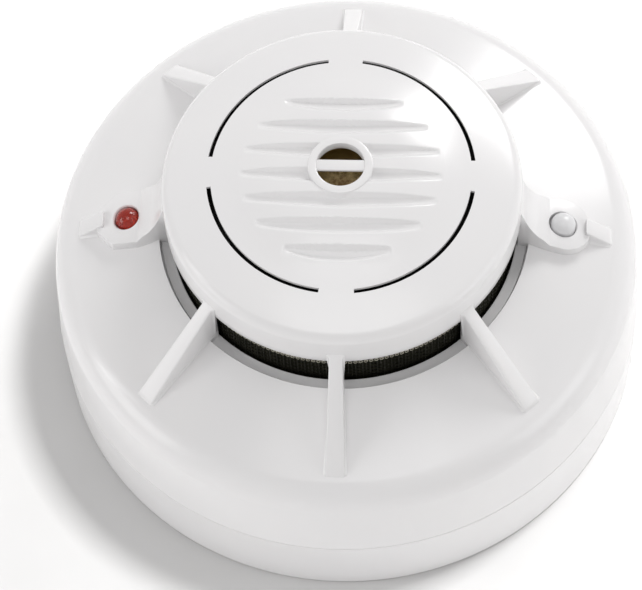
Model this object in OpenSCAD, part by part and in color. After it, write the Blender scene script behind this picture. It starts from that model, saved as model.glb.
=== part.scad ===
// Ceiling alarm head that senses heat and smoke, on a twist-lock mounting base.
// Millimetres. The mounting face is z = 0 and +Z points out into the room.
// The test button lies towards +X and the status lamp towards -X.

/* [Body] */
// Outer diameter of the base and of the cover's lower edge
body_d = 120; // [114:1:150]
// Height of the mounting base, up to the parting line
base_h = 17; // [14:0.5:21]
// Height of the cover's side, from the parting line to the shoulder's centre
side_h = 13.7; // [12:0.1:20]
// Radius of the rounded shoulder
shoulder_r = 7; // [5:0.5:8.5]
// Slope of the deck, down and outwards
deck_slope = 16.2; // [12:0.2:20]
// Wall of the cover
shell_wall = 2; // [1.6:0.1:2.4]
// Gap at the parting line between base and cover
seam_gap = 0.3; // [0.2:0.05:0.5]

/* [Vent and cap] */
// Radius of the deck's inner edge
sill_r = 36.95; // [36:0.05:41]
// Outer radius of the cap
cap_r = 35.3; // [34:0.1:42]
// Height of the open vent between the deck's edge and the cap
vent_h = 8.1; // [5:0.1:11]
// Height of the cap's upright side below its rounded edge
cap_side_h = 6.8; // [5:0.1:10]
// Radius of the cap's rounded edge
cap_edge_r = 2.5; // [2:0.1:3]
// Radius of the cap's domed top
dome_r = 130; // [100:5:200]
// Thickness of the cap's skirt where it covers the screen
skirt_wall = 1; // [0.8:0.1:1.4]
// Number of fins around the cap
fin_count = 8; // [4:4:8]
// Angle that each fin fills
fin_angle = 4.1; // [3:0.1:6]
// Drop of the fins' tops below the top of the cap's upright side
fin_drop = 3.7; // [2:0.1:4.5]

/* [Sounder grille] */
// Radius of the ring slot
slot_r = 25.84; // [23:0.1:29]
// Width of the ring slot
slot_w = 0.85; // [0.6:0.05:1.5]
// Half angle of each bridge across the ring slot
bridge_angle = 7; // [4:0.5:14]
// Number of waves on the grille
wave_count = 7; // [3:2:7]
// Distance from wave to wave
wave_pitch = 5.7; // [5.4:0.1:6.4]
// Height of a wave
wave_h = 1; // [0.6:0.1:1.1]
// Radius of the round field of waves
wave_field_r = 20.7; // [19.5:0.1:22]
// Radius of the sound hole
hole_r = 4.9; // [3.5:0.1:5.4]
// Width of the collar around the sound hole
collar_w = 1.75; // [1:0.05:2.5]
// Width of the bar across the sound hole
bar_w = 2.4; // [1.5:0.1:3]

/* [Lamp and button] */
// Distance of the lamp and the button from the middle
stem_r = 43.7; // [43:0.1:46]
// Radius of the round end of each boss
boss_r = 5.6; // [5:0.1:6]
// Height of the bosses' pads above the deck
pad_h = 2.2; // [1.6:0.1:3]
// Radius of the status lamp
lamp_r = 2.5; // [1.5:0.5:2.5]
// Radius of the test button
button_r = 2.5; // [2:0.1:2.7]
// Travel of the test button
button_travel = 1; // [0.5:0.1:1.2]
// Height of the button's crown above its pad
button_proud = 1.9; // [1.6:0.1:2.4]

/* [Screen and chamber] */
// Outer radius of the insect screen
screen_r = 34.1; // [33.6:0.1:34.2]
// Thickness of the insect screen
screen_t = 0.5; // [0.3:0.1:0.6]
// Number of vanes around the chamber
vane_count = 20; // [12:1:22]
// Radius of a thermistor's bead
bead_r = 1.1; // [0.8:0.1:1.2]

/* [Base] */
// Wall of the base's ring
base_wall = 2.2; // [1.8:0.1:2.6]
// Thickness of the base's floor
floor_t = 2; // [1.6:0.1:2.4]
// Radius of the base's central opening
opening_r = 30.5; // [29.5:0.1:31]
// Spacing of the wide pair of screw slots
wide_spacing = 84; // [82:0.5:90]
// Spacing of the narrow pair of screw slots
narrow_spacing = 76; // [75:0.5:82]
// Width of the screw slots
screw_slot_w = 4.4; // [3.5:0.1:5]
// Length of the wide pair of screw slots
wide_slot_l = 12; // [8:0.5:14]
// Length of the narrow pair of screw slots
narrow_slot_l = 10; // [7:0.5:10]
// Number of twist-lock lugs
lug_count = 3; // [2:1:4]
// Angle that each lug fills
lug_angle = 12; // [8:1:16]
// Turn that frees the head from the base
twist_angle = 15; // [15:1:22]

/* [Battery] */
// Length of the nine-volt battery over its snaps
battery_l = 48.5; // [46.5:0.5:48.5]
// Width of the battery
battery_w = 26.2; // [24.5:0.1:26.5]
// Thickness of the battery
battery_t = 17.5; // [15.5:0.1:17.5]

/* [Circuit board] */
// Gap from the circuit board's edge to the cover's side wall
board_inset = 8.7; // [8.6:0.1:14]
// Thickness of the circuit board
board_t = 1.6; // [1:0.2:2]
// Height of the posts under the circuit board
post_h = 2.3; // [2:0.1:4]

/* [Hidden] */
$fn = 96;
small_fn = 40;
dome_fn = 360;
shoulder_steps = 16;
eps = 0.01;

// clearances that several pieces share
run_gap = 0.3;
fit_gap = 0.1;
bite = 0.7;

white = [0.91, 0.91, 0.92];
black = [0.06, 0.06, 0.05];
dark_green = [0.05, 0.28, 0.14];
brass = [0.72, 0.52, 0.22];
tin = [0.75, 0.75, 0.74];

// outline of the cover's side and deck
body_r = body_d / 2;
cover_z0 = base_h + seam_gap;
shoulder_z = cover_z0 + side_h;
shoulder_c = body_r - shoulder_r - 1;
side_dist = norm([body_r - shoulder_c, cover_z0 - shoulder_z]);
side_draft = atan2(cover_z0 - shoulder_z, body_r - shoulder_c) + acos(shoulder_r / side_dist);
deck_normal = 90 - deck_slope;
deck_r1 = shoulder_c + shoulder_r * cos(deck_normal);
deck_z1 = shoulder_z + shoulder_r * sin(deck_normal);
function deck_z(r) = deck_z1 + (deck_r1 - r) * tan(deck_slope);
function deck_mid(r) = deck_z(r) - shell_wall / 2;
sill_z = deck_z(sill_r);

// ledge inside the deck's edge, where the screen comes up
ledge_z = sill_z - 1.2;
ledge_r = screen_r + 0.4;
flange_z = ledge_z - shell_wall;

// cap
rim_z = sill_z + vent_h;
edge_z = rim_z + cap_side_h;
edge_c = cap_r - cap_edge_r;
dome_z = edge_z - sqrt(pow(dome_r - cap_edge_r, 2) - edge_c * edge_c);
apex_z = dome_z + dome_r;
dome_tangent_r = edge_c * dome_r / (dome_r - cap_edge_r);
cap_wall = 2;
cap_inner_r = cap_r - cap_wall;
recess_z = rim_z + 1.5;
function dome_inner_z(r) = dome_z + sqrt(pow(dome_r - cap_wall, 2) - r * r);
collar_rise = 0.15;
collar_root = 1.5;
collar_z = apex_z + wave_h + collar_rise;
bar_drop = 0.25;
top_z = edge_z - fin_drop;

// fins
fin_tip_r = deck_r1 - 0.25;
fin_root_r = cap_r - bite;
fin_tip_h = 0.3;
fin_fall = (top_z - deck_z(fin_tip_r) - fin_tip_h) / (fin_tip_r - cap_r);
function fin_z(r) = top_z - fin_fall * (r - cap_r);
fin_angles = [for (i = [0:fin_count - 1]) if (i % (fin_count / 2) != 0) i * 360 / fin_count];

// base and twist lock
ring_r = body_r - base_wall;
hook_z = 6.5;
hook_h = 2;
hook_r = ring_r - 3.5;
hook_half = lug_angle / 2 + 2;
stop_half = lug_angle / 2 + 0.4;
lug_h = 2.2;
lug_z = hook_z - run_gap - lug_h;
lug_r = ring_r - 1.6;
tray_r = lug_r - 6.2;
tray_wall = 1.8;
tray_z = 3;

// battery bay
battery_z = 0.9;
plate_z = max(battery_z + battery_t + run_gap, base_h + 1.7);
plate_t = 2;
plate_top = plate_z + plate_t;
plate_r = body_r - shell_wall - 0.6;
snap_h = 2.1;
snap_pitch = 12.7;
jacket_l = battery_l - snap_h;
battery_x0 = -battery_l / 2;
snap_x = battery_x0 + battery_l;
strip_t = 0.4;
strip_w = 3.6;
bay_x0 = battery_x0 - run_gap;
bay_x1 = snap_x + 1.3;
bay_y = battery_w / 2 + run_gap;
bay_wall = 1.6;
contact_z = battery_z + battery_t / 2;

// circuit board and what stands on it
board_z = plate_top + post_h;
board_top = board_z + board_t;
board_r = body_r - shell_wall - board_inset;
case_screw_r = plate_r - 4.4;
case_boss_r = 3;
case_screw_d = 2.8;
board_screw_r = board_r - 4.3;
post_r = 3;
board_screw_d = 2.2;
screw_head_h = 1.9;
case_screw_angles = [30, 150, 270];
board_screw_angles = [55, 165, 285];

// chamber, between the circuit board and the cap
chamber_flange_t = 2;
chamber_z = flange_z - chamber_flange_t;
chamber_flange_r = screen_r + 1.5;
platform_r = screen_r - screen_t - 0.4;
platform_z = flange_z + 1.6;
roof_t = 1.6;
roof_z = recess_z - roof_t;
screen_top = recess_z - run_gap;
lead_ring_r = screen_r - screen_t - 2.2;
lead_hole_r = 1.3;
vane_r = 25.6;
vane_t = 1.3;
leg_r = 2;
leg_ring_r = 27;
leg_angles = [80, 200, 320];
sensor_z = platform_z + 4.4;
sensor_r = 2.4;
sensor_l = 8;
sensor_ring_r = 11;
sensor_angles = [215, 325];
holder_wall = 1.4;
bead_angles = [22.5, 202.5];
bead_z = platform_z + 6;
wire_angle = 112.5;

// sounder under the cap
floor_gap = 1;
sounder_floor_z = recess_z + floor_gap;
sounder_floor_t = 1.6;
sounder_top = sounder_floor_z + sounder_floor_t;
sounder_r = cap_inner_r - run_gap;
piezo_r = 13.5;
piezo_t = 0.25;
ceramic_r = 9.8;
piezo_z = sounder_top + 2.7;
cup_wall = 1.6;
cup_r = piezo_r + 0.2;
cup_z = dome_inner_z(cup_r + cup_wall) - run_gap;
wire_r = 0.45;
wire_offset = 0.75;
wire_sides = 8;
wire_hole_r = 9.4;
gap_z = recess_z + floor_gap / 2;

// lamp, square to its pad
pad_z = deck_z(stem_r) + pad_h;
lamp_l = 8.6;
lamp_proud = 1.3;
lamp_flange_h = 1;
lamp_flange_r = lamp_r + 0.4;
lamp_foot = lamp_l - lamp_proud;
lead_r = 0.3;
lead_pitch = 2.54;
spacer_r = 2.9;

// button, upright over its switch
button_hole_r = button_r + fit_gap;
button_ring_r = button_r + 0.35;
button_top = pad_z + button_proud;
crown_h = 1.5;
button_collar_r = button_r + 1;
button_collar_h = 1;
button_collar_z = deck_z(stem_r + button_collar_r) - shell_wall / cos(deck_slope) - button_collar_h - 0.2;
pusher_r = 1.6;
switch_w = 6;
switch_h = 3.5;
plunger_r = 1.7;
plunger_proud = 1.5;
plunger_top = board_top + switch_h + plunger_proud;

// ring of rectangular section
module ring(r_in, r_out, z0, z1) {
    rotate_extrude() translate([r_in, z0]) square([r_out - r_in, z1 - z0]);
}

// part of such a ring, centred on angle a and filling the angle w
module arc_ring(r_in, r_out, z0, z1, a, w) {
    rotate([0, 0, a - w / 2])
        rotate_extrude(angle = w) translate([r_in, z0]) square([r_out - r_in, z1 - z0]);
}

// children copied to a radius and a list of angles
module around(r, angles) {
    for (a = angles) rotate([0, 0, a]) translate([r, 0, 0]) children();
}

// tube swept along points [r, z] of the upright plane at angle a, moved sideways by dy
module wire(path, a, dy) {
    n = len(path);
    function way(i) = path[min(i + 1, n - 1)] - path[max(i - 1, 0)];
    rings = [
        for (i = [0:n - 1])
            let (d = way(i) / norm(way(i)))
                for (k = [0:wire_sides - 1])
                    let (s = wire_r * sin(360 * k / wire_sides), c = wire_r * cos(360 * k / wire_sides))
                        [path[i][0] + d[1] * s, dy + c, path[i][1] - d[0] * s]
    ];
    sides = [
        for (i = [0:n - 2], k = [0:wire_sides - 1])
            let (j = (k + 1) % wire_sides, b = i * wire_sides)
                [b + k, b + j, b + wire_sides + j, b + wire_sides + k]
    ];
    first = [for (k = [wire_sides - 1:-1:0]) k];
    last = [for (k = [0:wire_sides - 1]) (n - 1) * wire_sides + k];
    rotate([0, 0, a]) polyhedron(rings, concat(sides, [first, last]));
}

// half outline of the cover's side and deck, set in from the outside by t
module deck_outline(t) {
    r = shoulder_r - t;
    step = (deck_normal - side_draft) / shoulder_steps;
    polygon(concat(
        [
            [0, cover_z0 - 5],
            [0, sill_z],
            [sill_r, sill_z - t / cos(deck_slope)]
        ],
        [for (i = [shoulder_steps:-1:0])
            let (a = side_draft + i * step) [shoulder_c + r * cos(a), shoulder_z + r * sin(a)]],
        [[body_r - t / cos(side_draft) + 5 * tan(side_draft), cover_z0 - 5]]
    ));
}

module deck_shell() {
    rotate_extrude() difference() {
        deck_outline(0);
        translate([-1, cover_z0 - 9]) square([body_r + 9, 9]);
        translate([-1, -1]) square([ledge_r + 1, sill_z + 9]);
        translate([-1, ledge_z]) square([sill_r + 1, 9]);
        difference() {
            deck_outline(shell_wall);
            translate([0, flange_z]) square([sill_r + shell_wall, 9]);
        }
    }
}

// a wave is the crown of a round bar bent over the dome
module wave(y) {
    rod_r = 3.6;
    root = 1.6;
    width = wave_pitch - 0.3;
    half_l = sqrt(wave_field_r * wave_field_r - y * y);
    crest_r = sqrt(dome_r * dome_r - y * y) + wave_h;
    reach = asin(half_l / crest_r);
    translate([0, y, dome_z]) rotate([90, 0, 0]) rotate([0, 0, 90 - reach])
        rotate_extrude(angle = 2 * reach, $fn = dome_fn) intersection() {
            translate([crest_r - rod_r, 0]) circle(rod_r);
            translate([crest_r - root, -width / 2]) square([9, width]);
        }
}

module cap_shell() {
    difference() {
        rotate_extrude() {
            intersection() {
                translate([0, dome_z]) circle(dome_r, $fn = dome_fn);
                translate([0, rim_z]) square([dome_tangent_r, 99]);
            }
            translate([0, rim_z]) square([cap_r, cap_side_h]);
            translate([edge_c, edge_z]) circle(cap_edge_r, $fn = small_fn);
        }
        rotate_extrude() {
            intersection() {
                translate([0, dome_z]) circle(dome_r - cap_wall, $fn = dome_fn);
                translate([0, rim_z - 9]) square([cap_inner_r, 99]);
            }
            translate([0, rim_z - 9]) square([cap_r - skirt_wall, recess_z - rim_z + 9]);
        }
    }
}

module cap() {
    difference() {
        union() {
            cap_shell();
            for (i = [-(wave_count - 1) / 2:(wave_count - 1) / 2]) wave(i * wave_pitch);
        }
        for (a = [45:90:315])
            arc_ring(slot_r - slot_w / 2, slot_r + slot_w / 2, rim_z, top_z + 99, a, 90 - 2 * bridge_angle);
        translate([0, 0, rim_z]) cylinder(r = hole_r, h = 99);
    }
    ring(hole_r, hole_r + collar_w, apex_z - collar_root, collar_z);
    translate([-hole_r - 1, -bar_w / 2, apex_z - collar_root])
        cube([2 * hole_r + 2, bar_w, collar_z - apex_z + collar_root - bar_drop]);
}

module fin(a) {
    rotate([0, 0, a - fin_angle / 2]) rotate_extrude(angle = fin_angle) polygon([
        [fin_root_r, flange_z + 1],
        [fin_root_r, fin_z(fin_root_r)],
        [fin_tip_r, fin_z(fin_tip_r)],
        [fin_tip_r, deck_mid(fin_tip_r)],
        [sill_r, deck_mid(sill_r)],
        [sill_r, flange_z + 1]
    ]);
}

// what is left of a fin beyond a boss
module fin_stub(a) {
    stub_r = stem_r + boss_r - 1;
    rotate([0, 0, a - fin_angle / 2]) rotate_extrude(angle = fin_angle) polygon([
        [stub_r, deck_mid(stub_r)],
        [stub_r, fin_z(stub_r)],
        [fin_tip_r, fin_z(fin_tip_r)],
        [fin_tip_r, deck_mid(fin_tip_r)]
    ]);
}

// boss that carries the lamp or the button, its top swept down from the cap to a flat pad
module boss(plan_fn) {
    foot_r = stem_r + boss_r + 1;
    module side_view() polygon([
        [fin_root_r, flange_z + 1],
        [fin_root_r, top_z + bite],
        [cap_r, top_z],
        [cap_r + 1.5, top_z - 4.4],
        [cap_r + 3.4, top_z - 7.8],
        [cap_r + 5.6, deck_z(cap_r + 5.6) + pad_h],
        [foot_r, deck_z(foot_r) + pad_h],
        [foot_r, deck_mid(foot_r)],
        [sill_r, deck_mid(sill_r)],
        [sill_r, flange_z + 1]
    ]);
    intersection() {
        translate([0, 9, 0]) rotate([90, 0, 0]) linear_extrude(18) side_view();
        linear_extrude(99) union() {
            translate([stem_r, 0]) rotate([0, 0, 180 / plan_fn]) circle(boss_r, $fn = plan_fn);
            polygon([
                [fin_root_r, -4.1],
                [fin_root_r, 4.1],
                [stem_r - 0.8, boss_r * 0.92],
                [stem_r - 0.8, -boss_r * 0.92]
            ]);
        }
    }
}

module cover() {
    color(white) difference() {
        union() {
            deck_shell();
            cap();
            for (a = fin_angles) fin(a);
            for (a = [0, 180]) fin_stub(a);
            boss(96);
            rotate([0, 0, 180]) boss(8);
            intersection() {
                around(case_screw_r, case_screw_angles) cylinder(r = case_boss_r, h = 99, $fn = small_fn);
                rotate_extrude() difference() {
                    deck_outline(shell_wall / 2);
                    translate([-1, 0]) square([body_r + 9, plate_top]);
                }
            }
        }
        translate([stem_r, 0, 0]) cylinder(r = button_hole_r, h = 99, $fn = small_fn);
        translate([stem_r, 0, pad_z - 1.2]) cylinder(r = button_ring_r, h = 99, $fn = small_fn);
        lamp_axis() translate([0, 0, -12]) cylinder(r = lamp_r + fit_gap, h = 20, $fn = small_fn);
        around(case_screw_r, case_screw_angles)
            cylinder(r = case_screw_d / 2 + fit_gap, h = plate_top + 11, $fn = small_fn);
    }
}

module screw_slots(spacing, slot_l) {
    run = slot_l - screw_slot_w;
    for (side = [-1, 1]) translate([side * spacing / 2, 0, -1]) {
        translate([-run / 2, -screw_slot_w / 2, 0]) cube([run, screw_slot_w, floor_t + 2]);
        for (end = [-1, 1]) translate([end * run / 2, 0, 0]) cylinder(d = screw_slot_w, h = floor_t + 2);
    }
}

module mounting_base() {
    color(white) {
        difference() {
            ring(opening_r, body_r, 0, floor_t);
            screw_slots(wide_spacing, wide_slot_l);
            rotate([0, 0, 90]) screw_slots(narrow_spacing, narrow_slot_l);
        }
        ring(ring_r, body_r, floor_t - eps, base_h);
        ring(opening_r, opening_r + 1.5, floor_t - eps, tray_z - run_gap);
        for (i = [0:lug_count - 1]) {
            a = 90 + i * 360 / lug_count;
            arc_ring(hook_r, ring_r + bite, hook_z, hook_z + hook_h, a, 2 * hook_half);
            arc_ring(hook_r + bite, ring_r + bite, lug_z, hook_z + hook_h / 2, a - stop_half - 1, 2);
        }
    }
}

module rear_chassis() {
    color(white) difference() {
        union() {
            ring(0, plate_r, plate_z, plate_top);
            ring(tray_r - tray_wall, tray_r, tray_z, plate_z + eps);
            for (i = [0:lug_count - 1])
                arc_ring(tray_r - bite, lug_r, lug_z, lug_z + lug_h, 90 + i * 360 / lug_count, lug_angle);
            translate([bay_x0 - bay_wall, -bay_y - bay_wall, tray_z])
                cube([bay_x1 - bay_x0 + 2 * bay_wall, 2 * (bay_y + bay_wall), plate_z - tray_z + eps]);
            around(board_screw_r, board_screw_angles) translate([0, 0, plate_z])
                cylinder(r = post_r, h = board_z - plate_z, $fn = small_fn);
        }
        translate([bay_x0, -bay_y, -1]) cube([bay_x1 - bay_x0, 2 * bay_y, plate_z + 1]);
        for (side = [-1, 1]) translate([bay_x1 - 3 * strip_t, side * snap_pitch / 2 - 2, 0])
            cube([3 * strip_t, 4, plate_top + 1]);
        around(case_screw_r, case_screw_angles)
            cylinder(r = case_screw_d / 2 + fit_gap, h = 99, $fn = small_fn);
        around(board_screw_r, board_screw_angles) translate([0, 0, board_z - 4])
            cylinder(r = board_screw_d / 2 + fit_gap, h = 9, $fn = small_fn);
    }
}

module insect_screen() {
    color([0.10, 0.10, 0.07]) ring(screen_r - screen_t, screen_r, flange_z, screen_top);
}

module sensor_axis(a) {
    rotate([0, 0, a]) translate([sensor_ring_r, 0, sensor_z]) rotate([0, 90, 0]) children();
}

module chamber_base() {
    color(black) difference() {
        union() {
            ring(0, chamber_flange_r, chamber_z, flange_z);
            ring(0, platform_r, flange_z - eps, platform_z);
            around(leg_ring_r, leg_angles) translate([0, 0, board_top])
                cylinder(r = leg_r, h = chamber_z - board_top + 1, $fn = small_fn);
            for (a = sensor_angles) rotate([0, 0, a])
                translate([sensor_ring_r - 0.5, -sensor_r - holder_wall, platform_z - 1])
                    cube([sensor_l - 1, 2 * (sensor_r + holder_wall), sensor_z - platform_z + sensor_r + 2]);
        }
        for (a = sensor_angles) sensor_axis(a)
            translate([0, 0, -9]) cylinder(r = sensor_r + fit_gap, h = 9 + sensor_l, $fn = small_fn);
        around(sensor_ring_r + sensor_l - 1, sensor_angles) translate([-0.5, -2.2, 0]) cube([2.2, 4.4, 99]);
        around(lead_ring_r, concat(bead_angles, [wire_angle]))
            cylinder(r = lead_hole_r, h = 99, $fn = small_fn);
    }
}

// chevron vanes let air through and keep light out
module labyrinth() {
    color(black) {
        difference() {
            ring(0, platform_r, roof_z, recess_z);
            rotate([0, 0, wire_angle]) translate([lead_ring_r, 0, 0])
                cylinder(r = lead_hole_r, h = 99, $fn = small_fn);
        }
        around(vane_r, [for (i = [0:vane_count - 1]) i * 360 / vane_count])
            translate([0, 0, platform_z]) linear_extrude(roof_z - platform_z + eps) polygon([
                [-3.2, -2.6],
                [0, 0],
                [-3.2, 2.6],
                [-3.2 + vane_t, 2.6],
                [vane_t * 1.3, 0],
                [-3.2 + vane_t, -2.6]
            ]);
    }
}

// round-nosed lamp or cell that looks across the chamber, with two leads down to the board
module chamber_sensor(a) {
    sensor_axis(a) rotate_extrude($fn = small_fn) {
        translate([0, 1]) square([sensor_r, sensor_l - 1]);
        translate([0, 1]) intersection() {
            circle(sensor_r);
            translate([0, -9]) square([9, 9]);
        }
    }
    for (side = [-1, 1]) rotate([0, 0, a])
        translate([sensor_ring_r + sensor_l - 0.6, side * lead_pitch / 2, board_top])
            cylinder(r = lead_r, h = sensor_z - board_top, $fn = 24);
}

module ir_emitter() {
    color([0.20, 0.22, 0.45]) chamber_sensor(sensor_angles[0]);
}

module photodiode() {
    color([0.12, 0.10, 0.12]) chamber_sensor(sensor_angles[1]);
}

module thermistors() {
    color([0.45, 0.16, 0.08]) around(lead_ring_r, bead_angles) {
        translate([0, 0, bead_z]) sphere(bead_r, $fn = small_fn);
        for (side = [-1, 1]) translate([0, side * 0.5, board_top])
            cylinder(r = 0.25, h = bead_z - board_top, $fn = 24);
    }
}

module sounder_housing() {
    color(black) difference() {
        union() {
            ring(0, sounder_r, sounder_floor_z, sounder_top);
            ring(sounder_r - 4, sounder_r, recess_z, sounder_floor_z + eps);
            ring(cup_r, cup_r + cup_wall, sounder_top - eps, cup_z);
            ring(cup_r - 1.4, cup_r + eps, sounder_top - eps, piezo_z);
        }
        rotate([0, 0, wire_angle]) translate([sounder_r - 6, -lead_hole_r, recess_z - 1])
            cube([8, 2 * lead_hole_r, floor_gap + 1]);
        rotate([0, 0, wire_angle]) translate([wire_hole_r, 0, recess_z])
            cylinder(r = 1.7, h = 9, $fn = small_fn);
    }
}

module piezo_plate() {
    color(brass) ring(0, piezo_r, piezo_z, piezo_z + piezo_t);
}

module piezo_ceramic() {
    color([0.86, 0.84, 0.78]) ring(0, ceramic_r, piezo_z - piezo_t, piezo_z);
}

// route of a sounder wire: down through the cup's floor, out under it and down to the board
function wire_path(r0, z0) = [
    [r0, z0],
    [wire_hole_r, sounder_top + 0.8],
    [wire_hole_r, sounder_floor_z + 0.3],
    [wire_hole_r + 0.6, gap_z + 0.25],
    [wire_hole_r + 1.6, gap_z],
    [wire_hole_r + 8, gap_z],
    [lead_ring_r - 1.6, gap_z],
    [lead_ring_r - 0.6, gap_z - 0.2],
    [lead_ring_r - 0.1, gap_z - 0.9],
    [lead_ring_r, gap_z - 2],
    [lead_ring_r, platform_z],
    [lead_ring_r, board_top]
];

module sounder_wire_red() {
    color([0.75, 0.08, 0.06])
        wire(wire_path(piezo_r - 2.2, piezo_z - wire_r / 2), wire_angle, wire_offset);
}

module sounder_wire_black() {
    color([0.05, 0.05, 0.05])
        wire(wire_path(ceramic_r - 2, piezo_z - piezo_t - wire_r / 2), wire_angle, -wire_offset);
}

// frame on the lamp's pad, its Z square to the pad
module lamp_axis() {
    translate([-stem_r, 0, pad_z]) rotate([0, -deck_slope, 0]) children();
}

module status_lamp() {
    color([0.80, 0.10, 0.08]) lamp_axis() {
        translate([0, 0, -lamp_foot]) cylinder(r = lamp_flange_r, h = lamp_flange_h, $fn = small_fn);
        translate([0, 0, -lamp_foot + eps])
            cylinder(r = lamp_r, h = lamp_l - lamp_r - eps, $fn = small_fn);
        translate([0, 0, lamp_proud - lamp_r]) sphere(lamp_r, $fn = small_fn);
    }
}

// the leads run square to the pad and end at the board
module lamp_leads() {
    color(tin) intersection() {
        lamp_axis() for (side = [-1, 1]) translate([0, side * lead_pitch / 2, -lamp_foot - 30])
            cylinder(r = lead_r, h = 30, $fn = 24);
        translate([-stem_r - 9, -9, board_top]) cube([30, 18, 40]);
    }
}

module lamp_spacer() {
    color(white) intersection() {
        lamp_axis() translate([0, 0, -lamp_foot - 30]) difference() {
            cylinder(r = spacer_r, h = 30, $fn = small_fn);
            for (side = [-1, 1]) translate([0, side * lead_pitch / 2, -1])
                cylinder(r = lead_r + fit_gap, h = 32, $fn = 24);
        }
        translate([-stem_r - 9, -9, board_top]) cube([30, 18, 40]);
    }
}

module test_button() {
    color(white) translate([stem_r, 0, 0]) {
        translate([0, 0, button_collar_z])
            cylinder(r = button_r, h = button_top - crown_h - button_collar_z, $fn = small_fn);
        translate([0, 0, button_top - crown_h]) button_crown();
        translate([0, 0, button_collar_z]) cylinder(r = button_collar_r, h = button_collar_h, $fn = small_fn);
        translate([0, 0, plunger_top])
            cylinder(r = pusher_r, h = button_collar_z - plunger_top + eps, $fn = small_fn);
    }
}

// low crown: the part of a larger ball above the button's edge
module button_crown() {
    ball_r = (button_r * button_r + crown_h * crown_h) / (2 * crown_h);
    intersection() {
        translate([0, 0, crown_h - ball_r]) sphere(ball_r, $fn = small_fn);
        translate([0, 0, -eps]) cylinder(r = button_r, h = 9, $fn = small_fn);
    }
}

module switch_plunger() {
    color([0.15, 0.15, 0.15]) translate([stem_r, 0, plunger_top - plunger_proud - 0.3])
        cylinder(r = plunger_r, h = plunger_proud + 0.3, $fn = small_fn);
}

module tact_switch() {
    color([0.10, 0.10, 0.10]) difference() {
        translate([stem_r - switch_w / 2, -switch_w / 2, board_top]) cube([switch_w, switch_w, switch_h]);
        translate([stem_r, 0, board_top + switch_h - 0.6 - button_travel])
            cylinder(r = plunger_r + fit_gap, h = 9, $fn = small_fn);
    }
}

module circuit_board() {
    color(dark_green) difference() {
        ring(0, board_r, board_z, board_top);
        around(board_screw_r, board_screw_angles)
            cylinder(r = board_screw_d / 2 + fit_gap, h = 99, $fn = small_fn);
    }
}

module controller_chip() {
    color(black) translate([-5, -7, board_top]) cube([10, 10, 1.5]);
}

module driver_chip() {
    color(black) translate([-3, 17, board_top]) cube([5, 4, 1.6]);
}

module capacitors() {
    color([0.12, 0.12, 0.30]) {
        translate([20, -33, board_top]) cylinder(r = 4, h = 11, $fn = small_fn);
        translate([29, -27, board_top]) cylinder(r = 2.5, h = 6, $fn = small_fn);
    }
}

module sounder_coil() {
    color([0.15, 0.15, 0.16]) translate([-16, -38, board_top]) {
        cylinder(r = 4.6, h = 1.2, $fn = small_fn);
        cylinder(r = 3.6, h = 7, $fn = small_fn);
        translate([0, 0, 6.6]) cylinder(r = 4.6, h = 1.2, $fn = small_fn);
    }
}

module resistors() {
    color([0.10, 0.10, 0.12])
        for (i = [0:5]) translate([8 + 3.4 * i, 34 - 1.2 * i, board_top]) cube([1.6, 3.2, 0.6]);
}

module battery_contacts() {
    color(tin) for (side = [-1, 1]) {
        translate([bay_x1 - strip_t, side * snap_pitch / 2 - strip_w / 2, contact_z - 4])
            cube([strip_t, strip_w, board_z - contact_z + 4]);
        translate([snap_x + fit_gap, side * snap_pitch / 2 - strip_w / 2, contact_z - 1.5])
            cube([bay_x1 - snap_x - fit_gap - strip_t / 2, strip_w, 3]);
    }
}

module battery() {
    color([0.12, 0.13, 0.16]) translate([battery_x0, -battery_w / 2, battery_z])
        cube([jacket_l, battery_w, battery_t]);
}

module battery_snaps() {
    color(tin) translate([battery_x0 + jacket_l, 0, contact_z]) rotate([0, 90, 0]) {
        translate([0, -snap_pitch / 2, 0]) cylinder(r = 2.9, h = snap_h, $fn = small_fn);
        translate([0, snap_pitch / 2, 0]) cylinder(r = 4.2, h = snap_h, $fn = 6);
    }
}

module screw(shank_d, head_r, shank_l) {
    translate([0, 0, -screw_head_h]) cylinder(r = head_r, h = screw_head_h, $fn = small_fn);
    translate([0, 0, -eps]) cylinder(d = shank_d, h = shank_l, $fn = small_fn);
}

module case_screws() {
    color(tin) around(case_screw_r, case_screw_angles) translate([0, 0, plate_z])
        screw(case_screw_d, 2.7, plate_t + 9);
}

module board_screws() {
    color(tin) around(board_screw_r, board_screw_angles) translate([0, 0, board_top])
        mirror([0, 0, 1]) screw(board_screw_d, 2.2, board_t + 3.5);
}

mounting_base();
cover();
rear_chassis();
insect_screen();
chamber_base();
labyrinth();
ir_emitter();
photodiode();
thermistors();
sounder_housing();
piezo_plate();
piezo_ceramic();
sounder_wire_red();
sounder_wire_black();
status_lamp();
lamp_leads();
lamp_spacer();
test_button();
switch_plunger();
tact_switch();
circuit_board();
controller_chip();
driver_chip();
capacitors();
sounder_coil();
resistors();
battery_contacts();
battery();
battery_snaps();
case_screws();
board_screws();
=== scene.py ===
"""Looks of the ceiling alarm head: white mouldings, woven insect screen, lamp, button, base and battery.

Sizes are in millimetres, as in the part's source, and become metres where a mesh is made.
"""
from math import acos, asin, atan2, cos, hypot, pi, radians, sin, sqrt, tan

import bpy
from mathutils import Matrix, Vector


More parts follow.
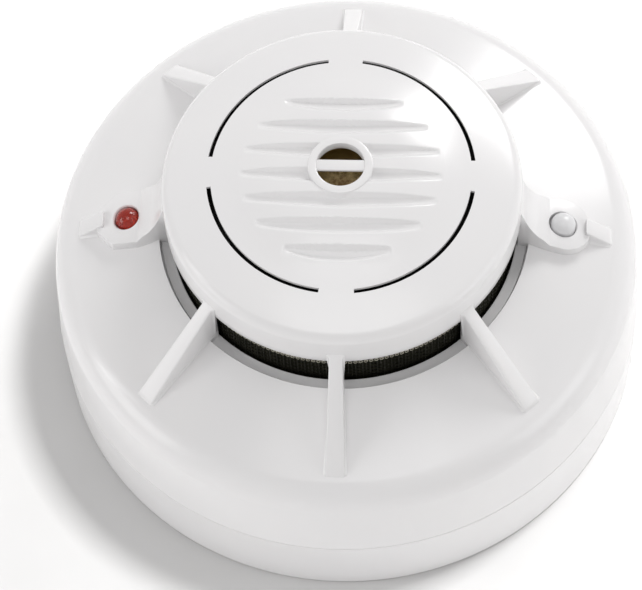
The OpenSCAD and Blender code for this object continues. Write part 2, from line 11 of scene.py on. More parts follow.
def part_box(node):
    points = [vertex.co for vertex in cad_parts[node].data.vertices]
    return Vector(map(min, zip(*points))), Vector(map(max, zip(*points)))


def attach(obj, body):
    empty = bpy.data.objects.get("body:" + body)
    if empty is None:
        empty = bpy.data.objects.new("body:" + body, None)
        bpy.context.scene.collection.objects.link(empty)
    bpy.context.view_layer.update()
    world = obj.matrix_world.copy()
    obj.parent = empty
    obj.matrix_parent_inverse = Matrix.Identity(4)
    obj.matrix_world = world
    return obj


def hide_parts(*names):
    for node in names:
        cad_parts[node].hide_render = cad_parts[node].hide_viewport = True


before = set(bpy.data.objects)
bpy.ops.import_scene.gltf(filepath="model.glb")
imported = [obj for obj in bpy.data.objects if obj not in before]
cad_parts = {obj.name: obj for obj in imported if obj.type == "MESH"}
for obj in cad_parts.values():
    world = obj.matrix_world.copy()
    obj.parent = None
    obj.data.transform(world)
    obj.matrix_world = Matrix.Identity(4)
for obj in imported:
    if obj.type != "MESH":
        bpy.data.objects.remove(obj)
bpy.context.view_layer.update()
MM = 0.001
MICRON = 0.000001

# shells
BODY_R = 60
BASE_H = 17
SHOULDER_R = 7
SLOPE = radians(16.2)  # of the deck
WALL = 2
SEAM = 0.3
SILL_R = 36.95  # inner edge of the deck

# cap
CAP_R = 35.3
CAP_EDGE_R = 2.5
DOME_R = 130
CAP_WALL = 2
THIN_WALL = 0.7  # at the ring slot and the sound hole
SKIRT_WALL = 1
SLOT_R = 25.84
SLOT_W = 0.85
SLOT_REACH = radians(37.4)  # from each arc's middle to its end
HOLE_R = 4.7
COLLAR_W = 1.65
BAR_W = 2.4

# waves on the cap
WAVE_PITCH = 5.42
WAVE_SHIFT = -0.4
WAVE_FIELD_R = 19.6
SCOOP_W = 3.7
SCOOP_DEPTH = 1.3
CROWN_RISE = 1
CROWN_R = 12  # the full rise ends here
CROWN_FADE = 12.5  # and falls to nothing over this width

# fins, bosses, lamp and button
FIN_HALF_ANGLE = radians(2.05)
STEM_R = 43.7  # from the axis to the lamp and the button
BOSS_R = 5.6
PAD_H = 2.2
LAMP_BOSS_R = BOSS_R + 0.7
LAMP_R = 2.5
LAMP_PROUD = 1.3
LAMP_L = 8.6
BUTTON_R = 2.5
RUN_GAP = 0.12

# screen
SCREEN_R = 34.1
WIRES = 300
WIRE_R = 0.13
WIRE_SWAY = 0.07
HEM_T = 0.5
SELVEDGE_LOOPS = 210
SELVEDGE_DROP = 2.6

# mounting base
OPENING_R = 30.5
FLOOR_T = 2
BASE_WALL = 2.2
SCREW_SLOT_W = 4.4
SCREW_SLOTS = ((84, 12, 0), (76, 10, 90))  # middles apart, length, turn in degrees
HOOK_DEPTH = 3.5
HOOK_SWEEP = 16

# heights and radii that follow from them
COVER_Z = BASE_H + SEAM
SHOULDER_Z = COVER_Z + 13.7
SHOULDER_C = BODY_R - SHOULDER_R - 1
SIDE_DRAFT = (atan2(COVER_Z - SHOULDER_Z, BODY_R - SHOULDER_C)
              + acos(SHOULDER_R / hypot(BODY_R - SHOULDER_C, COVER_Z - SHOULDER_Z)))
DECK_R = SHOULDER_C + SHOULDER_R * sin(SLOPE)
DECK_Z = SHOULDER_Z + SHOULDER_R * cos(SLOPE)


def deck_z(r):
    """Height of the deck's surface at a radius."""
    return DECK_Z + (DECK_R - r) * tan(SLOPE)


SILL_Z = deck_z(SILL_R)
LEDGE_Z = SILL_Z - 1.2
LEDGE_R = SCREEN_R + 0.4
FLANGE_Z = LEDGE_Z - WALL
RIM_Z = SILL_Z + 8.1
EDGE_Z = RIM_Z + 6.8
EDGE_C = CAP_R - CAP_EDGE_R
DOME_Z = EDGE_Z - sqrt((DOME_R - CAP_EDGE_R) ** 2 - EDGE_C ** 2)
APEX_Z = DOME_Z + DOME_R
RECESS_Z = RIM_Z + 1.5
COLLAR_Z = APEX_Z + 1.15
FIN_TOP_Z = EDGE_Z - 3.7
FIN_TIP_R = DECK_R - 0.25
PAD_Z = deck_z(STEM_R) + PAD_H
CLOTH_R = SCREEN_R - 0.28


# ---------------------------------------------------------------- modelling by hand

def clear_hands():
    """Object mode with nothing selected."""
    if bpy.context.object and bpy.context.object.mode != "OBJECT":
        bpy.ops.object.mode_set(mode="OBJECT")
    bpy.ops.object.select_all(action="DESELECT")


def take(piece):
    """The piece becomes the only selected and active object."""
    clear_hands()
    piece.select_set(True)
    bpy.context.view_layer.objects.active = piece


def newest(name):
    """Names the object that was just added."""
    piece = bpy.context.object
    piece.name = name
    piece.data.name = name
    return piece


def metres(*p):
    """A place given in millimetres, as a vector in metres."""
    return Vector(p) * MM


def chain(name, points):
    """A line of vertices through points (x, y, z), extruded one corner at a time and left in edit mode."""
    clear_hands()
    bpy.ops.mesh.primitive_plane_add(size=2 * MM, location=(0, 0, 0))
    piece = newest(name)
    bpy.ops.object.mode_set(mode="EDIT")
    bpy.ops.mesh.select_mode(type="VERT")
    bpy.ops.mesh.select_all(action="SELECT")
    bpy.ops.mesh.merge(type="CENTER")
    bpy.ops.transform.translate(value=metres(*points[0]))
    for before, after in zip(points, points[1:]):
        step = metres(*after) - metres(*before)
        bpy.ops.mesh.extrude_region_move(TRANSFORM_OT_translate={"value": step})
    return piece


def face_outwards():
    """Turns the edited mesh's faces outwards and leaves edit mode."""
    bpy.ops.mesh.select_all(action="SELECT")
    bpy.ops.mesh.normals_make_consistent(inside=False)
    bpy.ops.object.mode_set(mode="OBJECT")


def fill_and_draw_out(step):
    """Fills the edited outline and draws the face out by a step in metres."""
    bpy.ops.mesh.select_all(action="SELECT")
    bpy.ops.mesh.edge_face_add()
    bpy.ops.mesh.extrude_region_move(TRANSFORM_OT_translate={"value": step})
    face_outwards()


def turned(name, outline, steps=240, sweep=360, start=0):
    """An outline [(r, z), ...] turned about the upright axis, all round or through an angle.

    It is closed into a ring's section, unless both its ends lie on the axis.
    """
    a = radians(start)
    points = [(r * cos(a), r * sin(a), z) for r, z in outline]
    on_axis = outline[0][0] == 0 and outline[-1][0] == 0
    piece = chain(name, points if on_axis else points + points[:1])
    bpy.ops.mesh.select_all(action="SELECT")
    bpy.ops.mesh.remove_doubles(threshold=0.0001 * MM)
    if sweep < 360:
        bpy.ops.mesh.select_all(action="SELECT")
        bpy.ops.mesh.edge_face_add()
    bpy.ops.mesh.select_all(action="SELECT")
    bpy.ops.mesh.spin(steps=steps, angle=radians(sweep), center=(0, 0, 0), axis=(0, 0, 1))
    bpy.ops.mesh.select_all(action="SELECT")
    bpy.ops.mesh.remove_doubles(threshold=0.001 * MM)
    face_outwards()
    return piece


def plate(name, corners, z0, z1):
    """A flat plan [(x, y), ...] drawn up from z0 to z1."""
    piece = chain(name, [(x, y, z0) for x, y in corners])
    fill_and_draw_out(metres(0, 0, z1 - z0))
    return piece


def side_plate(name, corners, half):
    """A side view [(x, z), ...] drawn out to y = -half and y = half."""
    piece = chain(name, [(x, -half, z) for x, z in corners])
    fill_and_draw_out(metres(0, 2 * half, 0))
    return piece


def pick(piece, wanted):
    """In edit mode, selects the vertices whose place in millimetres passes wanted(x, y, z)."""
    bpy.ops.mesh.select_mode(type="VERT")
    bpy.ops.mesh.select_all(action="DESELECT")
    bpy.ops.object.mode_set(mode="OBJECT")
    for v in piece.data.vertices:
        v.select = bool(wanted(*(v.co / MM)))
    bpy.ops.object.mode_set(mode="EDIT")


def pick_faces(piece, wanted):
    """In edit mode, selects the faces whose centre in millimetres passes wanted(x, y, z)."""
    bpy.ops.mesh.select_mode(type="FACE")
    bpy.ops.mesh.select_all(action="DESELECT")
    bpy.ops.object.mode_set(mode="OBJECT")
    for f in piece.data.polygons:
        f.select = bool(wanted(*(f.center / MM)))
    bpy.ops.object.mode_set(mode="EDIT")


def slide_sideways(piece, wanted, y):
    """In edit mode, moves the wanted vertices along Y."""
    pick(piece, wanted)
    bpy.ops.transform.translate(value=metres(0, y, 0))


def apply_modifier(piece, kind, **settings):
    """Adds a modifier of a kind with its settings, and applies it."""
    take(piece)
    modifier = piece.modifiers.new(kind.title(), kind)
    for key, value in settings.items():
        setattr(modifier, key, value)
    bpy.ops.object.modifier_apply(modifier=modifier.name)


def ease_edges(piece, width, segments=2, angle=35):
    """Rounds the piece's sharp edges."""
    apply_modifier(piece, "BEVEL", width=width * MM, segments=segments, limit_method="ANGLE",
                   angle_limit=radians(angle), harden_normals=False)


def cut_away(piece, tool):
    """Takes the tool's shape out of the piece."""
    apply_modifier(piece, "BOOLEAN", operation="DIFFERENCE", object=tool, solver="EXACT")
    bpy.data.objects.remove(tool)


def keep_inside(piece, tool):
    """Keeps what lies inside the tool's shape."""
    apply_modifier(piece, "BOOLEAN", operation="INTERSECT", object=tool, solver="EXACT")
    bpy.data.objects.remove(tool)


def smooth(piece, angle=35):
    """Smooth shading, apart from edges sharper than an angle in degrees."""
    take(piece)
    bpy.ops.object.shade_smooth_by_angle(angle=radians(angle))


def settle(piece):
    """Puts the piece's place into its mesh."""
    take(piece)
    bpy.ops.object.transform_apply(location=True, rotation=True, scale=True)


def copy_round(piece, angles):
    """Copies of the piece turned about the upright axis, each with its own mesh."""
    copies = []
    for a in angles:
        twin = piece.copy()
        twin.data = piece.data.copy()
        bpy.context.collection.objects.link(twin)
        twin.rotation_euler = (0, 0, radians(a))
        settle(twin)
        copies.append(twin)
    return copies


def joined(name, pieces):
    """The pieces joined into one, under one name."""
    clear_hands()
    for piece in pieces:
        piece.select_set(True)
    bpy.context.view_layer.objects.active = pieces[0]
    bpy.ops.object.join()
    return newest(name)


def foot_fillet(piece, base, normal, radius, where, steps=4):
    """Sweeps the piece's sides out to a fillet where they meet a flat surface, as far as where() allows."""
    normal = Vector(normal).normalized()
    base = Vector(base)
    take(piece)
    bpy.ops.object.mode_set(mode="EDIT")
    for i in range(steps, -1, -1):
        t = i / steps * pi / 2
        reach = radius * (1 - sin(t))
        level = base + normal * (radius * (1 - cos(t)))
        bpy.ops.mesh.select_all(action="SELECT")
        bpy.ops.mesh.bisect(plane_co=level * MM, plane_no=normal)
        if reach < 1e-6:
            continue

        def on_level(x, y, z):
            return abs((Vector((x, y, z)) - level).dot(normal)) < 0.002 and where(x, y, z)

        slide_sideways(piece, lambda x, y, z: on_level(x, y, z) and y > 0.2, reach)
        slide_sideways(piece, lambda x, y, z: on_level(x, y, z) and y < -0.2, -reach)
    bpy.ops.object.mode_set(mode="OBJECT")


def arc(cx, cz, r, a0, a1, n):
    """Points on an arc of n steps about (cx, cz), with its angles in radians."""
    turns = [a0 + (a1 - a0) * i / n for i in range(n + 1)]
    return [(cx + r * cos(a), cz + r * sin(a)) for a in turns]


# ---------------------------------------------------------------- materials

def new_material(name):
    """A new material, its node tree and its shader."""
    m = bpy.data.materials.new(name)
    m.use_nodes = True
    tree = m.node_tree
    return m, tree, tree.nodes["Principled BSDF"]


def node(tree, kind, **settings):
    """A new node of a kind, with its settings."""
    n = tree.nodes.new(kind)
    for key, value in settings.items():
        setattr(n, key, value)
    return n


def noise(tree, scale, detail=2.0, roughness=0.5):
    """Noise that is fixed to the piece, with its scale per metre."""
    place = node(tree, "ShaderNodeTexCoord")
    n = node(tree, "ShaderNodeTexNoise")
    n.inputs["Scale"].default_value = scale
    n.inputs["Detail"].default_value = detail
    n.inputs["Roughness"].default_value = roughness
    tree.links.new(place.outputs["Object"], n.inputs["Vector"])
    return n


def between(tree, factor, low, high):
    """A number that runs from low to high with factor."""
    n = node(tree, "ShaderNodeMapRange")
    n.inputs["To Min"].default_value = low
    n.inputs["To Max"].default_value = high
    tree.links.new(factor, n.inputs["Value"])
    return n.outputs["Result"]


def tint(tree, factor, first, second, start=0.3, end=0.7):
    """A colour that runs from first to second with factor."""
    n = node(tree, "ShaderNodeValToRGB")
    n.color_ramp.elements[0].position = start
    n.color_ramp.elements[0].color = (*first, 1)
    n.color_ramp.elements[1].position = end
    n.color_ramp.elements[1].color = (*second, 1)
    tree.links.new(factor, n.inputs["Fac"])
    return n.outputs["Color"]


def rough_surface(tree, shader, height, depth):
    """Relief of a depth in microns."""
    bump = node(tree, "ShaderNodeBump")
    bump.inputs["Strength"].default_value = 1
    bump.inputs["Distance"].default_value = depth * MICRON
    tree.links.new(height, bump.inputs["Height"])
    tree.links.new(bump.outputs["Normal"], shader.inputs["Normal"])


def moulded(name, colour, shade, gloss, grain_depth, grain_scale, coat=0.0):
    """Moulded plastic: a breath of colour change, uneven gloss and a fine skin.

    Gloss is the lowest and highest roughness, and the grain's depth is in microns.
    """
    m, tree, shader = new_material(name)
    cloud = noise(tree, 60, 3)
    colour_out = tint(tree, cloud.outputs["Fac"], colour, shade)
    tree.links.new(colour_out, shader.inputs["Base Color"])
    wear = noise(tree, 240, 4)
    tree.links.new(between(tree, wear.outputs["Fac"], *gloss), shader.inputs["Roughness"])
    skin = noise(tree, grain_scale, 2)
    rough_surface(tree, shader, skin.outputs["Fac"], grain_depth)
    shader.inputs["IOR"].default_value = 1.46
    if coat:
        shader.inputs["Coat Weight"].default_value = coat
        shader.inputs["Coat Roughness"].default_value = 0.06
    return m


def metal(name, colour, shade, gloss):
    """Plated metal: patches of tone, uneven gloss and a fine grain."""
    m, tree, shader = new_material(name)
    cloud = noise(tree, 400, 5)
    tree.links.new(tint(tree, cloud.outputs["Fac"], colour, shade), shader.inputs["Base Color"])
    shader.inputs["Metallic"].default_value = 1.0
    tree.links.new(between(tree, cloud.outputs["Fac"], *gloss), shader.inputs["Roughness"])
    grain = noise(tree, 1800, 3)
    rough_surface(tree, shader, grain.outputs["Fac"], 10)
    return m


white_abs = moulded("white_moulding", (0.825, 0.818, 0.82), (0.81, 0.804, 0.81), gloss=(0.17, 0.26),
                    grain_depth=1.2, grain_scale=1400, coat=0.08)
button_white = moulded("button_white", (0.77, 0.77, 0.78), (0.74, 0.74, 0.75), gloss=(0.22, 0.3),
                       grain_depth=2, grain_scale=1800, coat=0.15)
chassis_white = moulded("chassis_white", (0.74, 0.74, 0.73), (0.70, 0.70, 0.69), gloss=(0.38, 0.5),
                        grain_depth=10, grain_scale=2200)
black_plastic = moulded("black_moulding", (0.012, 0.012, 0.011), (0.02, 0.019, 0.017), gloss=(0.5, 0.65),
                        grain_depth=10, grain_scale=2500)
switch_black = moulded("switch_black", (0.015, 0.015, 0.016), (0.025, 0.025, 0.025), gloss=(0.35, 0.5),
                       grain_depth=8, grain_scale=3000)
chip_black = moulded("chip_epoxy", (0.02, 0.02, 0.022), (0.03, 0.03, 0.032), gloss=(0.45, 0.6),
                     grain_depth=10, grain_scale=4000)
sleeve_blue = moulded("capacitor_sleeve", (0.01, 0.013, 0.06), (0.016, 0.02, 0.08), gloss=(0.2, 0.3),
                      grain_depth=4, grain_scale=900, coat=0.3)
ceramic = moulded("silvered_ceramic", (0.70, 0.67, 0.6), (0.6, 0.57, 0.5), gloss=(0.35, 0.5),
                  grain_depth=10, grain_scale=3000)
red_sleeve = moulded("red_wire_sleeve", (0.5, 0.012, 0.01), (0.42, 0.01, 0.008), gloss=(0.35, 0.5),
                     grain_depth=10, grain_scale=1500)
black_sleeve = moulded("black_wire_sleeve", (0.014, 0.014, 0.014), (0.02, 0.02, 0.02), gloss=(0.35, 0.5),
                       grain_depth=10, grain_scale=1500)
bead_brown = moulded("thermistor_glaze", (0.16, 0.03, 0.012), (0.2, 0.045, 0.02), gloss=(0.12, 0.2),
                     grain_depth=4, grain_scale=1200, coat=0.5)
blue_epoxy = moulded("emitter_epoxy", (0.03, 0.04, 0.14), (0.04, 0.05, 0.17), gloss=(0.06, 0.12),
                     grain_depth=2, grain_scale=900, coat=0.5)
dark_epoxy = moulded("cell_epoxy", (0.012, 0.01, 0.014), (0.018, 0.014, 0.02), gloss=(0.06, 0.12),
                     grain_depth=2, grain_scale=900, coat=0.5)
tinned = metal("tinned_metal", (0.72, 0.71, 0.68), (0.6, 0.6, 0.58), (0.2, 0.38))
zinc = metal("zinc_plate", (0.62, 0.63, 0.64), (0.5, 0.51, 0.53), (0.22, 0.4))
# pale wire: painted glints of light on the screen's top loops, which are the same wire as the dark cloth
painted_glint_wire = metal("painted_glint_metal", (0.62, 0.60, 0.50), (0.42, 0.40, 0.33), (0.4, 0.55))
dark_wire = metal("blackened_wire", (0.035, 0.034, 0.024), (0.02, 0.02, 0.014), (0.42, 0.6))


def brass_disc():
    """Rolled brass with random speckles, darker towards the middle: painted shade, where the disc lies in
    shade under the sound hole.
    """
    m, tree, shader = new_material("rolled_brass")
    place = node(tree, "ShaderNodeTexCoord")
    flat = node(tree, "ShaderNodeMapping")
    flat.inputs["Scale"].default_value = (1, 1, 0)
    tree.links.new(place.outputs["Object"], flat.inputs["Vector"])
    radius = node(tree, "ShaderNodeVectorMath", operation="LENGTH")
    tree.links.new(flat.outputs["Vector"], radius.inputs[0])
    spots = noise(tree, 900, 5, 0.7)
    # painted shade: dark brown near the axis and gold further out, with the random speckles added on top
    painted_shade_and_speckle = node(tree, "ShaderNodeMath", operation="MULTIPLY_ADD")
    painted_shade_and_speckle.inputs[1].default_value = 110
    tree.links.new(radius.outputs["Value"], painted_shade_and_speckle.inputs[0])
    tree.links.new(spots.outputs["Fac"], painted_shade_and_speckle.inputs[2])
    colour = tint(tree, painted_shade_and_speckle.outputs["Value"], (0.24, 0.15, 0.07), (0.88, 0.70, 0.36), 0.55, 0.95)
    tree.links.new(colour, shader.inputs["Base Color"])
    shader.inputs["Metallic"].default_value = 1.0
    tree.links.new(between(tree, spots.outputs["Fac"], 0.22, 0.42), shader.inputs["Roughness"])
    rough_surface(tree, shader, spots.outputs["Fac"], 20)
    return m


def lamp_epoxy():
    """Clear red epoxy."""
    m, tree, shader = new_material("red_lamp_epoxy")
    cloud = noise(tree, 500, 2)
    colour = tint(tree, cloud.outputs["Fac"], (0.80, 0.06, 0.03), (0.70, 0.045, 0.025))
    tree.links.new(colour, shader.inputs["Base Color"])
    shader.inputs["Transmission Weight"].default_value = 0.65
    tree.links.new(between(tree, cloud.outputs["Fac"], 0.03, 0.07), shader.inputs["Roughness"])
    shader.inputs["IOR"].default_value = 1.52
    return m


def board_green():
    """Green solder mask over a faint grid of tracks, with uneven gloss."""
    m, tree, shader = new_material("board_laminate")
    place = node(tree, "ShaderNodeTexCoord")
    tracks = node(tree, "ShaderNodeTexBrick")
    tracks.inputs["Scale"].default_value = 160
    tracks.inputs["Mortar Size"].default_value = 0.06
    tracks.inputs["Color1"].default_value = (0.008, 0.085, 0.03, 1)
    tracks.inputs["Color2"].default_value = (0.01, 0.1, 0.036, 1)
    tracks.inputs["Mortar"].default_value = (0.03, 0.17, 0.06, 1)
    tree.links.new(place.outputs["Object"], tracks.inputs["Vector"])
    tree.links.new(tracks.outputs["Color"], shader.inputs["Base Color"])
    gloss = noise(tree, 3000, 2)
    tree.links.new(between(tree, gloss.outputs["Fac"], 0.22, 0.36), shader.inputs["Roughness"])
    rough_surface(tree, shader, tracks.outputs["Fac"], -20)
    return m


def jacket():
    """Metal jacket: dark, with a plain copper-coloured part at its far end along X."""
    m, tree, shader = new_material("battery_jacket")
    place = node(tree, "ShaderNodeTexCoord")
    along = node(tree, "ShaderNodeSeparateXYZ")
    tree.links.new(place.outputs["Object"], along.inputs["Vector"])
    band = node(tree, "ShaderNodeMapRange", interpolation_type="STEPPED")
    band.inputs["From Min"].default_value = 4 * MM
    band.inputs["From Max"].default_value = 4.1 * MM
    band.inputs["Steps"].default_value = 1
    tree.links.new(along.outputs["X"], band.inputs["Value"])
    colour = tint(tree, band.outputs["Result"], (0.03, 0.032, 0.038), (0.5, 0.27, 0.13), 0.4, 0.6)
    tree.links.new(colour, shader.inputs["Base Color"])
    shader.inputs["Metallic"].default_value = 0.6
    scuffs = noise(tree, 700, 5, 0.65)
    tree.links.new(between(tree, scuffs.outputs["Fac"], 0.18, 0.42), shader.inputs["Roughness"])
    rough_surface(tree, shader, scuffs.outputs["Fac"], 10)
    return m


brass = brass_disc()
red_epoxy = lamp_epoxy()
laminate = board_green()
battery_print = jacket()


def dress(piece, body, slot, material, *nodes):
    """The piece gets its finish and its body, and the CAD nodes it stands for are hidden. The slot is not
    used.
    """
    piece.data.materials.clear()
    piece.data.materials.append(material)
    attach(piece, body)
    if nodes:
        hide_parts(*nodes)


# ---------------------------------------------------------------- camera

def aim_camera():
    """A long lens looks steeply down at the head, a little from its right and slightly rolled."""
    elevation, azimuth, roll = radians(61.478), radians(5.159), radians(-3.585)
    distance = 600
    target = Vector((0, 0, 30))
    back = Vector((sin(azimuth) * cos(elevation), -cos(azimuth) * cos(elevation), sin(elevation)))
    right = Vector((cos(azimuth), sin(azimuth), 0))
    up = back.cross(right)
    tilted_right = right * cos(roll) + up * sin(roll)
    tilted_up = up * cos(roll) - right * sin(roll)
    data = bpy.data.cameras.new("studio_camera")
    camera = bpy.data.objects.new("studio_camera", data)
    bpy.context.collection.objects.link(camera)
    turn = Matrix((tilted_right, tilted_up, back)).transposed().to_4x4()
    camera.matrix_world = Matrix.Translation((target + back * distance) * MM) @ turn
    data.lens = 165.3
    data.sensor_width = 36
    data.shift_x = -0.0387
    data.shift_y = -0.0674
    data.clip_start = 0.01
    bpy.context.scene.camera = camera


aim_camera()


# ---------------------------------------------------------------- cover

def deck_ring():
    """Side, shoulder, sloping deck and the ledge around the vent, as one closed wall."""
    normal = pi / 2 - SLOPE
    inner = SHOULDER_R - WALL
    foot = BODY_R - WALL / cos(SIDE_DRAFT)
    under_sill = SILL_Z - WALL / cos(SLOPE)
    low = COVER_Z - 0.17
    # a rounded lower edge, with rings close above it that keep the side's shading even
    outline = [(BODY_R - 0.12, low), (BODY_R - 0.03, low + 0.04), (BODY_R, low + 0.12)]
    outline += [(BODY_R - 0.02, low + 0.3)]
    outline += [(BODY_R - tan(SIDE_DRAFT) * rise, low + rise) for rise in (0.8, 3, 6)]
    outline += arc(SHOULDER_C, SHOULDER_Z, SHOULDER_R, SIDE_DRAFT, normal, 20)
    # the deck, down to the rounded sill
    sill_out = SILL_R + 0.4
    deck_steps = 8
    deck_radii = [DECK_R + (sill_out - DECK_R) * i / deck_steps for i in range(1, deck_steps)] + [sill_out]
    outline += [(r, deck_z(r)) for r in deck_radii]
    outline += [(SILL_R + 0.12, SILL_Z - 0.02), (SILL_R, SILL_Z - 0.2)]
    # a groove, and the ledge inside it
    groove_r, groove_z = SILL_R - 0.32, LEDGE_Z - 0.9
    outline += [(SILL_R, groove_z), (groove_r, groove_z), (groove_r, LEDGE_Z - 0.08), (SILL_R - 0.4, LEDGE_Z)]
    outline += [(LEDGE_R + 0.1, LEDGE_Z), (LEDGE_R, LEDGE_Z - 0.1), (LEDGE_R, FLANGE_Z)]
    # back along the inside
    outline += [(SILL_R + 1.2, FLANGE_Z), (SILL_R + 1.4, under_sill - 0.4)]
    outline += arc(SHOULDER_C, SHOULDER_Z, inner, normal, SIDE_DRAFT, 10)
    outline += [(foot, low)]
    return turned("cover_deck", outline, steps=360)


def ramp(q):
    """Smooth step from 0 to 1."""
    q = max(0, min(1, q))
    return q * q * (3 - 2 * q)


def crown_height(x, y):
    """Share of the crown's full rise: all of it in the middle, none of it outside the waves."""
    return 1 - ramp((hypot(x, y) - CROWN_R) / CROWN_FADE)


def scoop_depth(x, y):
    """Share of the full depth in the scoops between the waves.

    Across a scoop there is a sharp step down, a flat floor and a longer way up. Towards both its ends a scoop
    narrows and fades.
    """
    step_down, way_up = 0.24, 0.45
    for k in range(-3, 4):
        onset = k * WAVE_PITCH + WAVE_SHIFT
        reach = sqrt(max(WAVE_FIELD_R ** 2 - onset ** 2, 0))
        if abs(x) >= reach:
            continue
        fade = 1 - (x / reach) ** 2
        across = (onset - y) / (SCOOP_W * (0.4 + 0.6 * fade))
        if 0 < across < 1:
            return (ramp(across / step_down) - ramp((across - 1 + way_up) / way_up)) * fade ** 0.6
    return 0


def dome_z(r, radius=DOME_R):
    """Height of the dome's surface at a radius."""
    return DOME_Z + sqrt(radius ** 2 - r * r)


def cap_outline():
    """The cap's wall from the sound hole over the dome and down the skirt, and back inside."""
    collar_r = HOLE_R + COLLAR_W
    field_r = WAVE_FIELD_R + 0.7
    inner_r = CAP_R - CAP_WALL
    edge_angle = asin(EDGE_C / (DOME_R - CAP_EDGE_R))
    thin_slot, thin_hole = 1.5, 7.5

    def under(r):
        """Inside of the dome, thinner around the ring slot and the sound hole."""
        thin = abs(r - SLOT_R) < thin_slot or r < thin_hole
        return dome_z(r) - THIN_WALL if thin else dome_z(r, DOME_R - CAP_WALL)

    slot_in, slot_out = SLOT_R - SLOT_W / 2, SLOT_R + SLOT_W / 2
    slot_edges = [slot_in - 0.12, slot_in, slot_out, slot_out + 0.12]
    # sound hole and collar
    outline = [(HOLE_R, under(HOLE_R)), (HOLE_R, COLLAR_Z - 0.25), (HOLE_R + 0.08, COLLAR_Z - 0.07)]
    outline += [(HOLE_R + 0.25, COLLAR_Z), (collar_r - 0.3, COLLAR_Z), (collar_r - 0.09, COLLAR_Z - 0.09)]
    outline += [(collar_r, COLLAR_Z - 0.3)]
    # fine rings where the waves are, and wider ones out to the rounded edge
    rings = 52
    for i in range(rings + 1):
        r = collar_r + (field_r - collar_r) * i / rings
        outline.append((r + 0.02, dome_z(r)))
    outline += [(r, dome_z(r)) for r in [20.4, 21.2, 22, 23, 24.3] + slot_edges + [27.5, 29, 30.5, 31.6]]
    outline += arc(EDGE_C, EDGE_Z, CAP_EDGE_R, pi / 2 - edge_angle, 0, 12)
    # skirt
    outline += [(CAP_R, EDGE_Z - 2.5), (CAP_R, RIM_Z + 2), (CAP_R, RIM_Z + 0.3), (CAP_R - 0.1, RIM_Z + 0.08)]
    outline += [(CAP_R - 0.3, RIM_Z), (CAP_R - SKIRT_WALL, RIM_Z), (CAP_R - SKIRT_WALL, RECESS_Z)]
    # inside
    inner_radii = [inner_r, 30, 28, SLOT_R + thin_slot - 0.01] + slot_edges[::-1]
    inner_radii += [SLOT_R - thin_slot + 0.01, 23, 20, 16, 12, 8, thin_hole - 0.01]
    outline += [(inner_r, RECESS_Z)]
    outline += [(r, under(r)) for r in inner_radii]
    return outline


def open_ring_slots(cap):
    """Opens the four arcs of the ring slot right through the wall."""
    take(cap)
    bpy.ops.object.mode_set(mode="EDIT")
    for quarter in range(4):
        middle = radians(45 + 90 * quarter)

        def in_slot(x, y, z):
            away = abs((atan2(y, x) - middle + pi) % (2 * pi) - pi)
            return away < SLOT_REACH and abs(hypot(x, y) - SLOT_R) < SLOT_W / 2

        pick_faces(cap, in_slot)
        bpy.ops.mesh.delete(type="FACE")
        bpy.ops.mesh.select_mode(type="EDGE")
        bpy.ops.mesh.select_all(action="DESELECT")
        bpy.ops.mesh.select_non_manifold()
        bpy.ops.mesh.bridge_edge_loops()
    face_outwards()


def raise_waves(cap):
    """Raises the crown and sinks the scoops of the dome's top by weights on its vertices."""
    crown = cap.vertex_groups.new(name="crown")
    scoops = cap.vertex_groups.new(name="scoops")
    for v in cap.data.vertices:
        x, y, z = v.co / MM
        outside = z > dome_z(hypot(x, y)) - 0.5
        if outside and HOLE_R + COLLAR_W + 0.01 < hypot(x, y) < CROWN_R + CROWN_FADE:
            crown.add([v.index], crown_height(x, y), "REPLACE")
            scoops.add([v.index], scoop_depth(x, y), "REPLACE")
    for group, rise in (("crown", CROWN_RISE), ("scoops", -SCOOP_DEPTH)):
        apply_modifier(cap, "DISPLACE", direction="Z", strength=rise * MM, mid_level=0, vertex_group=group)
    cap.vertex_groups.clear()


def cap_shell():
    """Domed cap with its hole, collar, waves, rounded edge and skirt, as one closed wall."""
    cap = turned("cover_cap", cap_outline(), steps=480)
    open_ring_slots(cap)
    raise_waves(cap)
    return cap


def hole_bar():
    """The bar that crosses the sound hole."""
    end = HOLE_R + 0.6
    half = BAR_W / 2
    corners = [(-end, -half), (end, -half), (end, half), (-end, half)]
    bar = plate("cover_bar", corners, APEX_Z + 0.15, COLLAR_Z - 0.25)
    ease_edges(bar, 0.25, 3)
    return bar


def fin_z(r):
    """Height of a fin's top at a radius."""
    fall = (FIN_TOP_Z - deck_z(FIN_TIP_R) - 0.3) / (FIN_TIP_R - CAP_R)
    return FIN_TOP_Z - fall * (r - CAP_R)


def fin_blank(name, root_r, root_low):
    """A fin towards +X, wedge-shaped in plan, with eased edges and a fillet at its foot."""
    side_view = [
        (root_r, root_low), (root_r, fin_z(root_r)), (FIN_TIP_R - 0.5, fin_z(FIN_TIP_R - 0.5)),
        (FIN_TIP_R, fin_z(FIN_TIP_R) - 0.25), (FIN_TIP_R, deck_z(FIN_TIP_R) - 1),
    ]
    if root_r < SILL_R:
        side_view += [(SILL_R, SILL_Z - 1.3), (SILL_R, root_low)]
    else:
        side_view += [(root_r + 1, deck_z(root_r + 1) - 1)]
    fin = side_plate(name, side_view, 1)
    take(fin)
    bpy.ops.object.mode_set(mode="EDIT")
    for r in sorted({round(x, 4) for x, z in side_view}):
        pick(fin, lambda x, y, z: abs(x - r) < 0.01)
        bpy.ops.transform.resize(value=(1, r * tan(FIN_HALF_ANGLE), 1), center_override=(0, 0, 0))
    bpy.ops.object.mode_set(mode="OBJECT")
    ease_edges(fin, 0.28, 3)
    deck_normal = (sin(SLOPE), 0, cos(SLOPE))
    foot_fillet(fin, (SILL_R, 0, SILL_Z), deck_normal, 0.8, where=lambda x, y, z: x > SILL_R - 0.3)
    return fin


